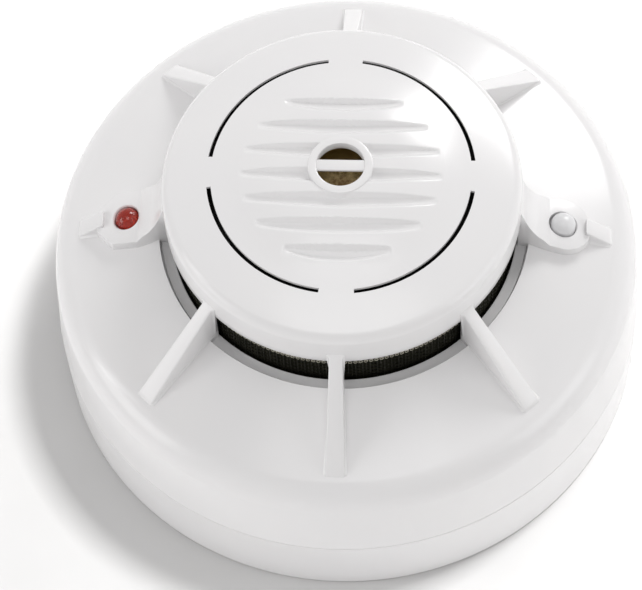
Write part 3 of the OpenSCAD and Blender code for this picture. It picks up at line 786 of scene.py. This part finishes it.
def cover_fins():
    """Six fins from the cap to the shoulder, and a short one outside each boss."""
    fin = fin_blank("cover_fin", CAP_R - 0.7, FLANGE_Z + 1)
    foot_fillet(fin, (CAP_R, 0, RIM_Z), (1, 0, 0), 0.7, where=lambda x, y, z: z > RIM_Z - 0.2)
    fins = copy_round(fin, [45, 90, 135, 225, 270, 315])
    bpy.data.objects.remove(fin)
    stub_r = STEM_R + BOSS_R - 1
    stub = fin_blank("cover_stub", stub_r, deck_z(stub_r) - 1)
    stubs = copy_round(stub, [0, 180])
    bpy.data.objects.remove(stub)
    return fins + stubs


def boss_top():
    """Side view of a boss: it sweeps down from the cap to its pad."""
    root_r, sweep_r, foot_r = CAP_R - 0.7, CAP_R + 5.7, STEM_R + BOSS_R + 1.2
    view = [(root_r, FIN_TOP_Z + 0.9), (CAP_R, FIN_TOP_Z)]
    for out, down in ((0.5, 1.76), (1.1, 3.46), (1.8, 5.06), (2.6, 6.46), (3.5, 7.66), (4.5, 8.51)):
        view.append((CAP_R + out, FIN_TOP_Z - down))
    view += [(sweep_r, deck_z(sweep_r) + PAD_H + 0.06), (foot_r, deck_z(foot_r) + PAD_H)]
    view += [(foot_r, deck_z(foot_r) - 1.2), (SILL_R, SILL_Z - 1.3), (SILL_R, FLANGE_Z + 1)]
    return view + [(root_r, FLANGE_Z + 1)]


def boss(name, sides, radius, near_half):
    """The pad that carries the button or the lamp, towards +X.

    Its nose is half a polygon: a round one with many sides, or a few flats with one across the middle.
    """
    body = side_plate(name, boss_top(), 9)
    below, above = 30, 60
    round_nose = sides > 20
    start = pi / 2 if round_nose else pi / 2 - pi / sides
    corners = sides // 2 + 1 if round_nose else sides // 2
    turns = [start - 2 * pi * i / sides for i in range(corners)]
    nose = [(STEM_R + radius * cos(a), radius * sin(a)) for a in turns]
    blend_in = [(STEM_R - 2.6, -radius * 0.955), (STEM_R - 5, -radius * 0.86), (CAP_R + 1, -near_half - 0.15)]
    plan = nose + blend_in + [(CAP_R - 1, -near_half), (CAP_R - 1, near_half)]
    plan += [(x, -y) for x, y in blend_in[::-1]]
    keep_inside(body, plate("boss_plan", plan, below, above))
    ease_edges(body, 0.32, 3, 30)
    return body


def cover_bosses():
    """The round boss with the button's hole, and the eight-sided one with the lamp's."""
    below, above = 20, 70
    east = boss("button_boss", 64, BOSS_R, 4.1)
    hole_r = BUTTON_R + RUN_GAP
    mouth_r = hole_r + 0.26
    drill = turned("button_drill", [(0, below), (hole_r, below), (hole_r, PAD_Z - 1.2),
                                    (mouth_r, PAD_Z - 1.1), (mouth_r, above), (0, above)], steps=64)
    drill.location = metres(STEM_R, 0, 0)
    settle(drill)
    cut_away(east, drill)
    west = copy_round(boss("lamp_boss", 8, LAMP_BOSS_R, 4.6), [180])[0]
    bpy.data.objects.remove(bpy.data.objects["lamp_boss"])
    well_r = LAMP_R + RUN_GAP
    well = turned("lamp_drill", [(0, -12), (well_r, -12), (well_r, -0.25), (well_r + 0.28, 0.1),
                                 (well_r + 0.28, 9), (0, 9)], steps=64)
    stand_on_lamp_pad(well)
    cut_away(west, well)
    return [east, west]


def stand_on_lamp_pad(piece):
    """Moves a piece made at the origin onto the lamp's pad, square to it."""
    piece.location = metres(-STEM_R, 0, PAD_Z)
    piece.rotation_euler = (0, -SLOPE, 0)
    settle(piece)


def cover():
    """The whole moulding, with a hole in the deck under the button and under the lamp."""
    deck = deck_ring()
    drill_r, below, above = 3.05, 20, 60
    for x in (STEM_R, -STEM_R):
        hole = turned("deck_drill", [(0, below), (drill_r, below), (drill_r, above), (0, above)], steps=48)
        hole.location = metres(x, 0, 0)
        settle(hole)
        cut_away(deck, hole)
    moulding = joined("cover_moulding", [deck, cap_shell(), hole_bar()] + cover_fins() + cover_bosses())
    smooth(moulding, 32)
    dress(moulding, "head", "white_abs", white_abs, "cover")


cover()


# ---------------------------------------------------------------- mounting base

def slot_plan(length, width, middle):
    """Plan of a screw slot along X, round at both ends."""
    run, r = (length - width) / 2, width / 2
    return arc(middle + run, 0, r, -pi / 2, pi / 2, 12) + arc(middle - run, 0, r, pi / 2, 3 * pi / 2, 12)


def ring_outline():
    """Floor, wall with a rounded foot and top edge, and the raised lip around the opening."""
    inner = BODY_R - BASE_WALL
    lip, lip_z = OPENING_R + 1.5, FLOOR_T + 0.7
    outline = [(OPENING_R + 0.2, 0), (BODY_R - 0.5, 0), (BODY_R - 0.15, 0.15), (BODY_R, 0.5)]
    outline += [(BODY_R, z) for z in (0.9, 6, 12, BASE_H - 0.6, BASE_H - 0.25)]
    outline += [(BODY_R, BASE_H - 0.12), (BODY_R - 0.03, BASE_H - 0.04), (BODY_R - 0.12, BASE_H)]
    outline += [(inner + 0.2, BASE_H), (inner, BASE_H - 0.2), (inner, FLOOR_T + 0.5)]
    outline += [(inner - 0.15, FLOOR_T + 0.15), (inner - 0.5, FLOOR_T), (lip + 0.3, FLOOR_T)]
    outline += [(lip, FLOOR_T + 0.3), (lip - 0.2, lip_z), (OPENING_R + 0.2, lip_z), (OPENING_R, lip_z - 0.2)]
    return outline + [(OPENING_R, 0.2)]


def bayonet_hooks():
    """Three flanges inside the wall, each with a stop under one end."""
    outer = BODY_R - BASE_WALL + 0.6
    hook_r = BODY_R - BASE_WALL - HOOK_DEPTH
    low, high = 6.5, 8.5
    hooks = []
    for i in range(3):
        start = 90 + 120 * i - HOOK_SWEEP / 2
        flange = [(hook_r, low), (outer, low), (outer, high), (hook_r, high)]
        hooks.append(turned("bayonet_hook", flange, steps=12, sweep=HOOK_SWEEP, start=start))
        ease_edges(hooks[-1], 0.25)
        stop = [(hook_r + 0.7, 4), (outer, 4), (outer, low + 1), (hook_r + 0.7, low + 1)]
        hooks.append(turned("bayonet_stop", stop, steps=3, sweep=2, start=start - 0.4))
        ease_edges(hooks[-1], 0.2)
    return hooks


def base_ring():
    """The mounting base, with its screw slots and hooks."""
    ring = turned("mounting_ring", ring_outline(), steps=240)
    for spacing, length, quarter in SCREW_SLOTS:
        for side in (-1, 1):
            tool = plate("slot_tool", slot_plan(length, SCREW_SLOT_W, side * spacing / 2), -1, FLOOR_T + 2)
            tool.rotation_euler = (0, 0, radians(quarter))
            settle(tool)
            cut_away(ring, tool)
    whole = joined("mounting_ring", [ring] + bayonet_hooks())
    smooth(whole, 32)
    dress(whole, "base", "white_abs", white_abs, "mounting_base")


base_ring()


# ---------------------------------------------------------------- insect screen

def weft_wires(low, pitch, rows, phase):
    """Every second level wire: a ring that sways in and out from one upright wire to the next."""
    clear_hands()
    bpy.ops.mesh.primitive_torus_add(major_segments=WIRES, minor_segments=5, major_radius=CLOTH_R * MM,
                                     minor_radius=WIRE_R * MM,
                                     location=metres(0, 0, low + 0.5 + phase * pitch))
    weft = newest("weft")
    settle(weft)
    take(weft)
    bpy.ops.object.mode_set(mode="EDIT")
    for swing, odd in ((1 + WIRE_SWAY / CLOTH_R, phase), (1 - WIRE_SWAY / CLOTH_R, 1 - phase)):
        pick(weft, lambda x, y, z: round(atan2(y, x) / (2 * pi) * WIRES) % 2 == odd)
        bpy.ops.transform.resize(value=(swing, swing, 1), center_override=(0, 0, 0))
    bpy.ops.object.mode_set(mode="OBJECT")
    apply_modifier(weft, "ARRAY", count=rows // 2, use_relative_offset=False, use_constant_offset=True,
                   constant_offset_displace=(0, 0, 2 * pitch * MM))
    return weft


def warp_wires(low, pitch, rows, phase):
    """Every second upright wire: one is swayed the other way at each row, then copied all round."""
    half = WIRE_R * 0.9
    section = ((-half, -half), (half, -half), (half, half), (-half, half))
    warp = chain("warp", [(CLOTH_R + x, y, low + 0.1) for x, y in section])
    bpy.ops.mesh.select_all(action="SELECT")
    bpy.ops.mesh.edge_face_add()
    side = WIRE_SWAY if phase else -WIRE_SWAY
    bpy.ops.transform.translate(value=metres(-side, 0, 0))
    for row in range(rows + 1):
        sway = side if row % 2 == 0 else -side
        step = metres(2 * sway, 0, pitch) if row else metres(sway, 0, 0.4)
        bpy.ops.mesh.extrude_region_move(TRANSFORM_OT_translate={"value": step})
    bpy.ops.mesh.select_all(action="SELECT")
    bpy.ops.mesh.normals_make_consistent(inside=False)
    bpy.ops.transform.rotate(value=2 * pi / WIRES * phase, orient_axis="Z", center_override=(0, 0, 0))
    bpy.ops.mesh.spin(steps=WIRES // 2, angle=2 * pi, dupli=True, center=(0, 0, 0), axis=(0, 0, 1))
    bpy.ops.object.mode_set(mode="OBJECT")
    return warp


def hem(name, low, high):
    """A flat band along one edge of the cloth."""
    inner = SCREEN_R - HEM_T
    section = [(inner, low), (SCREEN_R, low), (SCREEN_R, high - 0.1), (SCREEN_R - 0.1, high),
               (inner + 0.1, high), (inner, high - 0.1)]
    return turned(name, section, steps=180)


def selvedge():
    """The cloth's loops just under the cap's rim, in a pale wire colour: a painted glint of the light they
    catch.
    """
    clear_hands()
    bpy.ops.mesh.primitive_torus_add(major_segments=10, minor_segments=5, major_radius=0.36 * MM,
                                     minor_radius=0.085 * MM, rotation=(0, pi / 2, 0),
                                     location=metres(SCREEN_R + 0.06, 0, RIM_Z - SELVEDGE_DROP))
    loops = newest("selvedge")
    settle(loops)
    take(loops)
    bpy.ops.object.mode_set(mode="EDIT")
    bpy.ops.mesh.select_all(action="SELECT")
    bpy.ops.mesh.spin(steps=SELVEDGE_LOOPS, angle=2 * pi, dupli=True, center=(0, 0, 0), axis=(0, 0, 1))
    bpy.ops.object.mode_set(mode="OBJECT")
    # the pale wire colour is a painted highlight on these loops
    dress(loops, "head", "screen_mesh", painted_glint_wire)


def woven_screen():
    """Plain-woven wire cloth rolled into a band, with a hem along each edge."""
    low, high = (corner[2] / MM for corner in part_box("insect_screen"))
    pitch = 2 * pi * SCREEN_R / WIRES
    rows = int((high - low - 0.6) / pitch / 2) * 2
    parts = []
    for phase in (0, 1):
        parts.append(weft_wires(low, pitch, rows, phase))
        parts.append(warp_wires(low, pitch, rows, phase))
    parts += [hem("lower_hem", low, low + 0.9), hem("upper_hem", high - 1.1, high)]
    selvedge()
    screen = joined("woven_screen", parts)
    smooth(screen, 60)
    dress(screen, "head", "screen_mesh", dark_wire, "insect_screen")


woven_screen()


# ---------------------------------------------------------------- lamp and button

def lamp():
    """Domed lens with a flange at its foot, and the small metal cup inside it."""
    foot = LAMP_PROUD - LAMP_L
    nose = arc(0, LAMP_PROUD - LAMP_R, LAMP_R, 0, pi / 2, 16)[:-1]
    outline = [(0, foot), (LAMP_R + 0.4, foot), (LAMP_R + 0.4, foot + 1), (LAMP_R, foot + 1.05)] + nose
    lens = turned("lamp_lens", outline + [(0, LAMP_PROUD)], steps=64)
    stand_on_lamp_pad(lens)
    smooth(lens, 40)
    dress(lens, "head", "red_lens", red_epoxy, "status_lamp")

    cup_outline = [(0, -2.6), (0.35, -2.6), (0.75, -2.0), (0.9, -2.0), (0.9, -3.4), (0.45, -3.8),
                   (0.45, foot + 0.2), (0, foot + 0.2)]
    cup = turned("lamp_cup", cup_outline, steps=24)
    stand_on_lamp_pad(cup)
    smooth(cup, 30)
    dress(cup, "head", "tinned_metal", tinned)


def button():
    """Crowned push button with a collar under the deck and a thinner stem."""
    low, high = (corner[2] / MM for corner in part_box("test_button"))
    collar_r = BUTTON_R + 1
    collar = deck_z(collar_r + STEM_R) - WALL / cos(SLOPE) - 1.2
    crown = 1.5
    ball = (BUTTON_R ** 2 + crown ** 2) / (2 * crown)
    lean = asin(BUTTON_R / ball)
    outline = [(0, low), (1.45, low), (1.6, low + 0.15), (1.6, collar), (collar_r - 0.15, collar)]
    outline += [(collar_r, collar + 0.15), (collar_r, collar + 0.85), (collar_r - 0.15, collar + 1)]
    outline += [(BUTTON_R, collar + 1), (BUTTON_R, high - crown - 0.35)]
    outline += [(BUTTON_R - 0.06, high - crown - 0.08)]
    outline += arc(0, high - ball, ball, pi / 2 - lean * 0.93, pi / 2, 14)[:-1] + [(0, high)]
    cap = turned("button_cap", outline, steps=64)
    cap.location = metres(STEM_R, 0, 0)
    settle(cap)
    smooth(cap, 40)
    dress(cap, "test_button", "button_abs", button_white, "test_button")


lamp()
button()


# ---------------------------------------------------------------- battery

def battery_case(low, high):
    """Jacket with rolled edges along its length and sunk end plates."""
    clear_hands()
    bpy.ops.mesh.primitive_cube_add(size=1 * MM, location=metres(*((low + high) / 2)))
    case = newest("battery_case")
    case.scale = high - low
    settle(case)
    take(case)
    bpy.ops.object.mode_set(mode="EDIT")
    bpy.ops.mesh.select_mode(type="EDGE")
    bpy.ops.mesh.select_all(action="DESELECT")
    bpy.ops.object.mode_set(mode="OBJECT")
    for e in case.data.edges:
        a, b = (case.data.vertices[i].co for i in e.vertices)
        e.select = abs(a.x - b.x) > 0.01
    bpy.ops.object.mode_set(mode="EDIT")
    bpy.ops.mesh.bevel(offset=2.2 * MM, segments=6)
    for end, inward in ((low.x, 0.45), (high.x, -0.45)):
        pick_faces(case, lambda x, y, z: abs(x - end) < 0.01)
        bpy.ops.mesh.inset(thickness=0.9 * MM)
        bpy.ops.mesh.extrude_region_move(TRANSFORM_OT_translate={"value": metres(inward, 0, 0)})
    bpy.ops.object.mode_set(mode="OBJECT")
    ease_edges(case, 0.2, 2, 40)
    smooth(case, 35)
    dress(case, "battery", "battery_jacket", battery_print, "battery")


def snap_stud(height):
    """The round stud, standing on the origin."""
    outline = [(0, -0.6), (2.9, -0.6), (2.9, height - 0.9), (2.6, height - 0.5), (2.85, height - 0.25),
               (2.6, height), (1.7, height), (1.5, height - 0.5), (0, height - 0.6)]
    return turned("snap_stud", outline, steps=48)


def snap_socket(height):
    """The flared socket, split into six springs, standing on the origin."""
    outline = [(2.5, 0.4), (3.0, -0.6), (3.6, -0.6), (3.6, 0.1), (3.3, height - 0.8), (3.9, height - 0.1),
               (3.7, height), (2.9, height - 0.6)]
    socket = turned("snap_socket", outline, steps=48)
    for turn in range(3):
        gap = plate("socket_gap", [(-5, -0.35), (5, -0.35), (5, 0.35), (-5, 0.35)], 0.5, height + 1)
        gap.rotation_euler = (0, 0, radians(60 * turn + 30))
        settle(gap)
        cut_away(socket, gap)
    return socket


def battery_studs(middle_z):
    """Stud and socket on the battery's end, side by side."""
    low, high = (Vector(corner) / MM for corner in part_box("battery_snaps"))
    height = high.x - low.x
    apart = 12.7
    snaps = [snap_stud(height), snap_socket(height)]
    for snap, y in zip(snaps, (-apart / 2, apart / 2)):
        snap.rotation_euler = (0, pi / 2, 0)
        snap.location = metres(low.x, y, middle_z)
        settle(snap)
    pair = joined("battery_studs", snaps)
    smooth(pair, 35)
    dress(pair, "battery", "tinned_metal", tinned, "battery_snaps")


def battery():
    """The nine-volt battery: its case, and the studs half-way up."""
    low, high = (Vector(corner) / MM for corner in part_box("battery"))
    battery_case(low, high)
    battery_studs((low.z + high.z) / 2)


battery()


# ---------------------------------------------------------------- floor and light

def pale_floor():
    """A matt floor, just under the part's back."""
    clear_hands()
    bpy.ops.mesh.primitive_plane_add(size=8, location=(0, 0, -0.05 * MM))
    floor = newest("studio_floor")
    m, tree, shader = new_material("pale_floor")
    paper = noise(tree, 40, 3)
    colour = tint(tree, paper.outputs["Fac"], (0.62, 0.617, 0.615), (0.60, 0.597, 0.595))
    tree.links.new(colour, shader.inputs["Base Color"])
    shader.inputs["Roughness"].default_value = 0.9
    shader.inputs["Specular IOR Level"].default_value = 0.1
    floor.data.materials.append(m)
    return floor


def softbox(name, place, width, length, power):
    """A rectangular lamp with its place and size in metres, turned to the part's middle."""
    data = bpy.data.lights.new(name, "AREA")
    data.shape = "RECTANGLE"
    data.size = width
    data.size_y = length
    data.energy = power
    light = bpy.data.objects.new(name, data)
    bpy.context.collection.objects.link(light)
    light.location = place
    light.rotation_euler = (Vector((0, 0, 0.03)) - Vector(place)).to_track_quat("-Z", "Y").to_euler()
    return light


def pale_room():
    """A pale surround, brighter near the horizon than overhead."""
    world = bpy.data.worlds.new("studio")
    bpy.context.scene.world = world
    world.use_nodes = True
    tree = world.node_tree
    place = node(tree, "ShaderNodeTexCoord")
    height = node(tree, "ShaderNodeSeparateXYZ")
    tree.links.new(place.outputs["Generated"], height.inputs["Vector"])
    room = tint(tree, height.outputs["Z"], (0.70, 0.692, 0.688), (0.43, 0.425, 0.423), 0.05, 0.85)
    tree.links.new(room, tree.nodes["Background"].inputs["Color"])


def studio():
    """Floor, lamps and surround."""
    floor = pale_floor()
    softbox("window", (0.43, 0.82, 0.68), 0.46, 0.4, 4.9)
    softbox("overhead", (0, -0.2, 1.25), 0.6, 0.6, 2.2)
    softbox("right_fill", (0.95, -0.3, 0.5), 0.6, 0.5, 1.6)
    softbox("left_fill", (-0.95, -0.35, 0.42), 0.6, 0.5, 2.2)
    softbox("left_strip", (-0.98, -0.12, 0.72), 0.1, 0.6, 0.8)
    # one lamp lights the floor alone, so that the part's shadow reads on it
    on_floor = bpy.data.collections.new("lit_floor")
    on_floor.objects.link(floor)
    floor_light = softbox("floor_light", (0.33, 0.22, 1.12), 0.2, 0.2, 12)
    floor_light.light_linking.receiver_collection = on_floor
    pale_room()
    bpy.context.scene.view_settings.view_transform = "Standard"


studio()


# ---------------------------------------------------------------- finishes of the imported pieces

finishes = {
    "mounting_base": white_abs, "rear_chassis": chassis_white, "insect_screen": dark_wire,
    "chamber_base": black_plastic, "labyrinth": black_plastic, "ir_emitter": blue_epoxy,
    "photodiode": dark_epoxy, "thermistors": bead_brown, "sounder_housing": black_plastic,
    "piezo_plate": brass, "piezo_ceramic": ceramic, "sounder_wire_red": red_sleeve,
    "sounder_wire_black": black_sleeve, "status_lamp": red_epoxy, "lamp_leads": tinned,
    "lamp_spacer": chassis_white, "test_button": button_white, "switch_plunger": switch_black,
    "tact_switch": switch_black, "circuit_board": laminate, "controller_chip": chip_black,
    "driver_chip": chip_black, "capacitors": sleeve_blue, "sounder_coil": chip_black,
    "resistors": chip_black, "battery_contacts": tinned, "battery": battery_print,
    "battery_snaps": tinned, "case_screws": zinc, "board_screws": zinc,
}
for name, finish in finishes.items():
    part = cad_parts[name]
    part.data.materials.clear()
    part.data.materials.append(finish)

bpy.context.view_layer.update()
